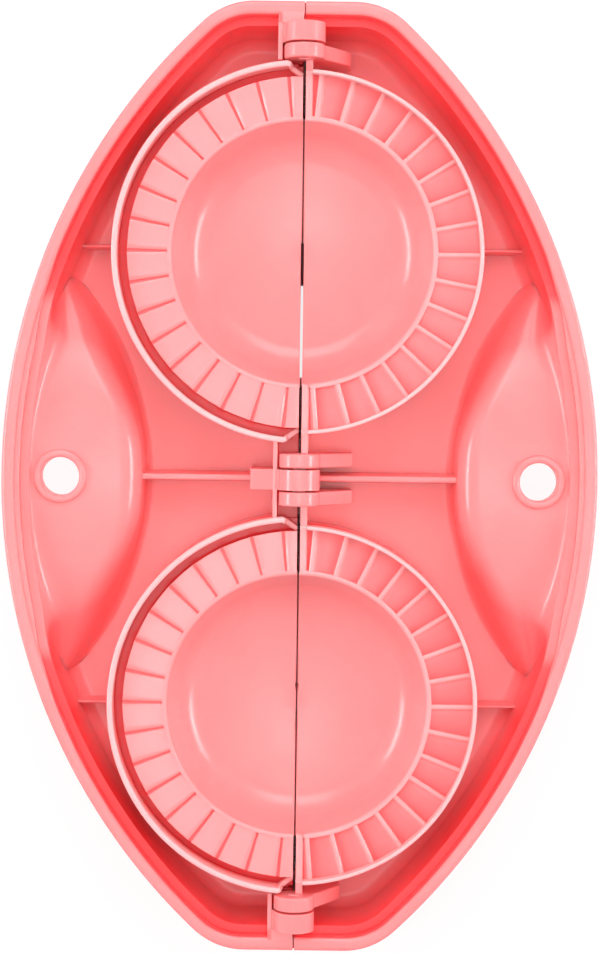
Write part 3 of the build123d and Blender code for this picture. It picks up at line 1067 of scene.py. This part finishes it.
@dataclass
class Stiffeners:
    """The ribs on one half's floor and the tube round its hanging hole."""

    side: Side
    hole_centre: float = 54.5
    hole_radius: float = 4.35
    tube_radius: float = 6.1
    tube_top: float = 20.0

    def eyelet(self) -> Mesh:
        """The tube round the hanging hole, blended into the thumb rest."""
        profile = rounded_path(
            Corner(self.hole_radius, 15.05, 0.2, 2),
            Corner(self.hole_radius, self.tube_top, 0.8, 6),
            Corner(self.tube_radius, self.tube_top, 0.8, 6),
            Corner(self.tube_radius, 16.97, 1.2, 5),
            Corner(7.6, 16.75),
            Corner(7.6, 16.2),
            Corner(6.0, 15.05),
            closed=True,
        )
        return spun(profile, (self.hole_centre, 0), 1.0, 72)

    def ejector_marks(self) -> Mesh:
        """The faint rings that the mould's ejector pins left."""
        if self.side is Side.LEFT:
            spots = [(36.5, 21.6, 2.0), (12.0, -5.6, 2.0), (57.2, 15.0, 16.2), (57.8, -14.5, 16.26)]
        else:
            spots = [(17.7, 95.6, 2.0), (58.8, 14.7, 16.23), (58.7, -14.4, 16.27)]
        rings = []
        for x, y, level in spots:
            profile = rounded_path(
                Corner(2.1, level - 0.3),
                Corner(2.1, level + 0.16, 0.1, 3),
                Corner(2.5, level + 0.16, 0.1, 3),
                Corner(2.5, level - 0.3),
                closed=True,
            )
            rings.append(spun(profile, (x, y), 1.0, 40))
        return joined(rings)

    def build(self, material: Finish) -> None:
        """Build the ribs, the tube and the ejector marks."""
        name = self.side.value
        start, cup_edge = (11.0, 42.5) if self.side is Side.LEFT else (1.8, 40.5)
        ribs = {
            "centre_": Rib(start, 37.2, 0.0, 1.8, 14.0, 0.1),
            "upper_side_": Rib(cup_edge, 52.6, 52.95, 1.0, 9.0, 0.09),
            "lower_side_": Rib(cup_edge, 52.6, -52.95, 1.0, 9.0, 0.09),
        }
        for place, rib in ribs.items():
            finished(rib.build(), f"{place}stiffener", self.side, material, [f"{name}_{place}rib"])
        finished(self.ejector_marks(), "ejector_marks", self.side, material)
        finished(self.eyelet(), "eyelet_tube", self.side, material, [f"{name}_hanging_eyelet"])


def fill_in(node: Node, values: Values | None) -> Node:
    """Set a node's inputs, given by name or number."""
    for socket, value in (values or {}).items():
        node.inputs[socket].default_value = value
    return node


@dataclass(frozen=True)
class Wiring:
    """A node tree, with short ways to add to it."""

    tree: bpy.types.NodeTree

    def add(self, kind: str, values: Values | None = None) -> Node:
        """Add a node of a kind."""
        return fill_in(self.tree.nodes.new(kind), values)

    def maths(self, operation: str, values: Values | None = None, kind: str = "Math") -> Node:
        """Add a sum on numbers, or on vectors with the kind VectorMath."""
        made = self.add(f"ShaderNode{kind}")
        made.operation = operation
        return fill_in(made, values)

    def ramp(self, values: Values | None = None, smooth: bool = False) -> Node:
        """Add a map from one range to another."""
        made = self.add("ShaderNodeMapRange", values)
        if smooth:
            made.interpolation_type = "SMOOTHSTEP"
        return made

    def mix(self, *colours: Colour) -> Node:
        """Add a mix of two colours, which are inputs 6 and 7 and may be linked later."""
        made = self.add("ShaderNodeMix")
        made.data_type = "RGBA"
        return fill_in(made, {6 + index: (*colour, 1.0) for index, colour in enumerate(colours)})

    def group(self, tree: bpy.types.NodeTree, values: Values) -> Node:
        """Add a shared group."""
        made = self.add("ShaderNodeGroup")
        made.node_tree = tree
        return fill_in(made, values)

    def link(self, *wires: tuple[Node, str | int, Node, str | int]) -> None:
        """Link outputs to inputs, each wire given as node, output, node and input."""
        for source, leaving, target, arriving in wires:
            self.tree.links.new(source.outputs[leaving], target.inputs[arriving])


def new_finish(name: str, values: Values) -> tuple[Finish, Wiring, Node]:
    """Make a material, and give its wiring and its filled-in Principled shader too."""
    material = bpy.data.materials.new(name)
    material.use_nodes = True
    shader = material.node_tree.nodes["Principled BSDF"]
    return material, Wiring(material.node_tree), fill_in(shader, values)


class SharedGroup:
    """A node group that materials share."""

    name: str
    inputs: tuple[str, ...]
    outputs: tuple[str, ...]

    @classmethod
    def wire(cls, wiring: Wiring) -> None:
        """Fill the new group with its nodes."""
        raise NotImplementedError

    @classmethod
    def tree(cls) -> bpy.types.NodeTree:
        """Return the group, and make it on its first use."""
        found = bpy.data.node_groups.get(cls.name)
        if found:
            return found
        group = bpy.data.node_groups.new(cls.name, "ShaderNodeTree")
        for direction, names in (("INPUT", cls.inputs), ("OUTPUT", cls.outputs)):
            for socket in names:
                group.interface.new_socket(name=socket, in_out=direction, socket_type="NodeSocketFloat")
        cls.wire(Wiring(group))
        return group


class GrainGroup(SharedGroup):
    """The skin of moulded plastic: fine grain, flow marks and scuffs."""

    name = "moulded_skin"
    inputs = ("Fine Scale", "Flow Scale")
    outputs = ("Height", "Mottle", "Scuffs")

    @classmethod
    def wire(cls, wiring: Wiring) -> None:
        """Lay three noises over each other."""
        entry, leave = wiring.add("NodeGroupInput"), wiring.add("NodeGroupOutput")
        place = wiring.add("ShaderNodeTexCoord")
        fine = wiring.add("ShaderNodeTexNoise", {"Detail": 3.0})
        flow = wiring.add("ShaderNodeTexNoise", {"Detail": 2.0, "Distortion": 0.6})
        stretch = wiring.add("ShaderNodeMapping", {"Rotation": (0, 0, 0.5), "Scale": (1, 9, 1)})
        scuff = wiring.add("ShaderNodeTexNoise", {"Scale": 420.0, "Detail": 2.0})
        bands = wiring.ramp({"From Min": 0.60, "From Max": 0.72})
        wiring.link(
            (place, "Object", fine, "Vector"),
            (place, "Object", flow, "Vector"),
            (place, "Object", stretch, "Vector"),
            (stretch, "Vector", scuff, "Vector"),
            (entry, "Fine Scale", fine, "Scale"),
            (entry, "Flow Scale", flow, "Scale"),
            (scuff, "Fac", bands, "Value"),
            (fine, "Fac", leave, "Height"),
            (flow, "Fac", leave, "Mottle"),
            (bands, "Result", leave, "Scuffs"),
        )


class PaintedShadeGroup(SharedGroup):
    """Painted shade: the share of a darker colour low down between the cups and the end walls, where shade
    falls, and how far it turns deeper up the walls.
    """

    name = "painted_pocket_shade"
    inputs = (
        "Away Start", "Away End", "Level Start", "Level End", "Low Level", "High Level", "Low Ramp",
        "High Ramp",
    )
    outputs = ("Depth", "Wall Shade")

    @classmethod
    def wire(cls, wiring: Wiring) -> None:
        """Compare heights with a level that rises away from the middle."""
        entry, leave = wiring.add("NodeGroupInput"), wiring.add("NodeGroupOutput")
        place = wiring.add("ShaderNodeTexCoord")
        scaled = wiring.maths("SCALE", {"Scale": 1 / METRES_PER_MM}, "VectorMath")
        parts = wiring.add("ShaderNodeSeparateXYZ")
        along, below, both = (wiring.maths(name) for name in ("ABSOLUTE", "SUBTRACT", "MULTIPLY"))
        level, away, shade_below_level, blend = (wiring.ramp(smooth=True) for _ in range(4))
        wall = wiring.ramp({"From Min": 7.0, "From Max": 18.5}, smooth=True)
        wiring.link(
            (place, "Object", scaled, 0),
            (scaled, "Vector", parts, 0),
            (parts, "Y", along, 0),
            (along, 0, level, "Value"),
            (along, 0, away, "Value"),
            (along, 0, blend, "Value"),
            (entry, "Away Start", away, "From Min"),
            (entry, "Away End", away, "From Max"),
            (entry, "Level Start", level, "From Min"),
            (entry, "Level End", level, "From Max"),
            (entry, "Low Level", level, "To Min"),
            (entry, "High Level", level, "To Max"),
            (entry, "Level Start", blend, "From Min"),
            (entry, "Level End", blend, "From Max"),
            (entry, "Low Ramp", blend, "To Min"),
            (entry, "High Ramp", blend, "To Max"),
            (blend, "Result", shade_below_level, "From Max"),
            (level, "Result", below, 0),
            (parts, "Z", below, 1),
            (below, 0, shade_below_level, "Value"),
            (shade_below_level, "Result", both, 0),
            (away, "Result", both, 1),
            (both, 0, leave, "Depth"),
            (parts, "Z", wall, "Value"),
            (wall, "Result", leave, "Wall Shade"),
        )


@dataclass(frozen=True)
class PaintedShade:
    """Where the painted shade lies, in millimetres from the middle and above the worktop."""

    away: Flat = (-2, -1)
    level_span: Flat = (0, 1)
    levels: Flat = (0, 0)
    ramps: Flat = (1, 1)

    @classmethod
    def below(cls, level: float, ramp: float) -> "PaintedShade":
        """Painted shade everywhere below one level."""
        return cls(levels=(level, level), ramps=(ramp, ramp))

    def values(self) -> Values:
        """What the group's inputs are set to."""
        numbers = (*self.away, *self.level_span, *self.levels, *self.ramps)
        return dict(zip(PaintedShadeGroup.inputs, numbers))


@dataclass(frozen=True)
class CoralPlastic:
    """Glossy, slightly translucent coral polypropylene, with painted shade in its low places."""

    name: str
    colour: Colour
    deep_colour: Colour
    painted_shade: PaintedShade
    # Colours of the painted shade, low down and higher up the walls.
    pocket_shade_colour: Colour = (1.0, 0.26, 0.27)
    wall_shade_colour: Colour = (1.0, 0.08, 0.09)
    roughness: float = 0.22
    scuffed_roughness: float = 0.26
    translucency: float = 0.5
    glow_reach: float = 0.003

    def build(self) -> Finish:
        """Make the material."""
        settings = {
            "IOR": 1.49,
            "Subsurface Weight": self.translucency,
            "Subsurface Radius": (1.0, 0.25, 0.25),
            "Subsurface Scale": self.glow_reach,
        }
        material, wiring, shader = new_finish(self.name, settings)
        skin = wiring.group(GrainGroup.tree(), {"Fine Scale": 2600.0, "Flow Scale": 38.0})
        tone = wiring.mix(self.colour, self.deep_colour)
        share = wiring.ramp({"From Min": 0.35, "From Max": 0.75})
        # Painted shade: darker colours take over from the tone low down in pockets, grooves and walls.
        painted_shade = wiring.group(PaintedShadeGroup.tree(), self.painted_shade.values())
        depth = wiring.mix()
        shade_tones = wiring.mix(self.pocket_shade_colour, self.wall_shade_colour)
        gloss = wiring.ramp({"To Min": self.roughness, "To Max": self.scuffed_roughness})
        bump = wiring.add("ShaderNodeBump", {"Strength": 0.06, "Distance": 0.00004})
        wiring.link(
            (skin, "Mottle", share, "Value"),
            (share, "Result", tone, 0),
            (painted_shade, "Wall Shade", shade_tones, 0),
            (shade_tones, 2, depth, 7),
            (painted_shade, "Depth", depth, 0),
            (tone, 2, depth, 6),
            (depth, 2, shader, "Base Color"),
            (skin, "Scuffs", gloss, "Value"),
            (gloss, "Result", shader, "Roughness"),
            (skin, "Height", bump, "Height"),
            (bump, "Normal", shader, "Normal"),
        )
        return material


def shadow_gap() -> Finish:
    """The dull dark finish of the strips deep in the seam, a painted shadow."""
    dark = {"Base Color": (0.22, 0.012, 0.014, 1.0), "Roughness": 0.95, "Specular IOR Level": 0.0}
    return new_finish("seam_shadow", dark)[0]


@dataclass(frozen=True)
class Lamp:
    """A soft box that faces the middle of the press, seen in reflections or not."""

    name: str
    place: tuple[float, float, float]
    size: Flat
    power: float
    glossy: bool = True

    def build(self) -> None:
        """Hang the lamp."""
        data = bpy.data.lights.new(self.name, "AREA")
        data.shape = "RECTANGLE"
        data.size, data.size_y = self.size
        data.energy = self.power
        lamp = bpy.data.objects.new(self.name, data)
        lamp.location = self.place
        lamp.visible_glossy = self.glossy
        aim = Vector((0, 0, 0.02)) - Vector(self.place)
        lamp.rotation_euler = aim.to_track_quat("-Z", "Y").to_euler()
        bpy.context.scene.collection.objects.link(lamp)


@dataclass
class Studio:
    """The floor, the lamps and the camera."""

    focal_pixels: float = 2215.3
    frame_long_side: float = 953.0
    eye: tuple[float, float, float] = (0.0007, 0.0200, 0.523)
    aim: tuple[float, float, float] = (0.00013, 0.00075, 0.023)
    roll: float = 0.746
    light: float = 0.55
    patch_light: float = 3.2
    patch_angles: Flat = (8.5, 2.5)
    patch_direction: tuple[float, float, float] = (0.0, -0.054, 1.0)
    lamps: tuple[Lamp, ...] = (
        Lamp("top_box", (0.0, 0.0, 1.2), (0.6, 0.6), 2.3, glossy=False),
        Lamp("key_box", (0.0, 0.5, 0.6), (0.5, 0.4), 2.4),
        Lamp("left_box", (-0.6, 0.02, 0.62), (0.5, 0.5), 1.0, glossy=False),
        Lamp("right_box", (0.6, 0.02, 0.62), (0.5, 0.5), 1.0, glossy=False),
        Lamp("left_strip", (-0.55, 0.02, 0.26), (0.34, 0.12), 1.5),
        Lamp("right_strip", (0.55, 0.02, 0.26), (0.34, 0.12), 1.5),
    )

    def floor(self) -> None:
        """A white floor that keeps the object's shadow."""
        mesh = bmesh.new()
        bmesh.ops.create_grid(mesh, x_segments=8, y_segments=8, size=3.0)
        ground = mesh_object(mesh, "studio_floor")
        white = {"Base Color": (0.9, 0.9, 0.9, 1.0), "Roughness": 0.9}
        material, wiring, shader = new_finish("studio_white", white)
        glow = wiring.add("ShaderNodeEmission", {"Strength": 1.0})
        path = wiring.add("ShaderNodeLightPath")
        seen = wiring.maths("MULTIPLY", {1: 0.85})
        mix = wiring.add("ShaderNodeMixShader")
        wiring.link(
            (path, "Is Camera Ray", seen, 0),
            (seen, 0, mix, 0),
            (shader, 0, mix, 1),
            (glow, 0, mix, 2),
            (mix, 0, wiring.tree.nodes["Material Output"], "Surface"),
        )
        ground.data.materials.append(material)

    def world(self) -> None:
        """White light from all round, with a brighter soft patch overhead."""
        world = bpy.data.worlds.new("studio_world")
        world.use_nodes = True
        wiring = Wiring(world.node_tree)
        back = fill_in(world.node_tree.nodes["Background"], {"Color": (1.0, 1.0, 1.0, 1.0)})
        place = wiring.add("ShaderNodeTexCoord")
        facing = wiring.maths("DOT_PRODUCT", {1: Vector(self.patch_direction).normalized()}, "VectorMath")
        edge, middle = (math.cos(math.radians(angle)) for angle in self.patch_angles)
        brightest = self.light + self.patch_light
        patch = wiring.ramp(
            {"From Min": edge, "From Max": middle, "To Min": self.light, "To Max": brightest}, smooth=True
        )
        wiring.link(
            (place, "Generated", facing, 0),
            (facing, "Value", patch, "Value"),
            (patch, "Result", back, "Strength"),
        )
        bpy.context.scene.world = world

    def camera(self) -> None:
        """The camera above the press, as in the photograph."""
        data = bpy.data.cameras.new("photo_camera")
        data.sensor_fit = "AUTO"
        data.sensor_width = 36.0
        data.lens = self.focal_pixels * data.sensor_width / self.frame_long_side
        data.clip_start, data.clip_end = 0.01, 10.0
        camera = bpy.data.objects.new("photo_camera", data)
        eye, aim = Vector(self.eye), Vector(self.aim)
        turn = math.radians(self.roll)
        up = Vector((-math.sin(turn), math.cos(turn), 0))
        back = (eye - aim).normalized()
        right = up.cross(back).normalized()
        up = back.cross(right)
        place = Matrix((right, up, back)).transposed().to_4x4()
        place.translation = eye
        camera.matrix_world = place
        bpy.context.scene.collection.objects.link(camera)
        bpy.context.scene.camera = camera

    def build(self) -> None:
        """Set up the studio."""
        self.floor()
        self.world()
        for lamp in self.lamps:
            lamp.build()
        self.camera()
        bpy.context.scene.view_settings.view_transform = "Standard"


def main() -> None:
    """Build the press and its studio in order."""
    logging.basicConfig(level=logging.INFO, format="%(message)s")
    body = ((1.0, 0.275, 0.28), (1.0, 0.25, 0.255))
    # Panels, ribs and guards take paler copies of the body colour: painted light for how brightly they
    # catch the light.
    panel_light_tones = ((1.0, 0.32, 0.325), (1.0, 0.30, 0.305))
    ribs = ((1.0, 0.35, 0.355), (1.0, 0.33, 0.335))
    highlight_tones = ((1.0, 0.46, 0.465), (1.0, 0.44, 0.445))
    # Painted shade in the pockets between the cups and the end walls.
    trough = PaintedShade((14, 50), (18, 52), (14.5, 22.75), (6, 0.7))
    plastic = CoralPlastic("coral_polypropylene_painted_shade", *body, trough).build()
    panel_plastic = CoralPlastic("coral_panels_painted_light", *panel_light_tones, PaintedShade.below(22.7, 1.2)).build()
    rib_plastic = CoralPlastic("coral_ribs_painted_light", *ribs, PaintedShade.below(22.75, 1.5)).build()
    bowl_plastic = CoralPlastic("coral_bowls", *body, PaintedShade()).build()
    guard_plastic = CoralPlastic("coral_guards_painted_light", *highlight_tones, PaintedShade.below(20.2, 2)).build()
    # Painted shadow for the dark strips deep in the seam.
    painted_seam_shadow = shadow_gap()
    for side in Side:
        tray = TrayHalf(side)
        tray.build(plastic)
        RimHalf(side, tray).build(plastic)
        for level in ("upper", "lower"):
            BowlHalf(side).build(level, bowl_plastic)
            PleatedRing(side).build(level, panel_plastic if side is Side.LEFT else rib_plastic)
            GuardWall(side).build(level, guard_plastic, painted_seam_shadow)
        Hinge(side).build(bowl_plastic, panel_plastic)
        Stiffeners(side).build(plastic)
    Hinge(Side.RIGHT).build_pins(bowl_plastic)
    Studio().build()


if __name__ == "__main__":
    main()
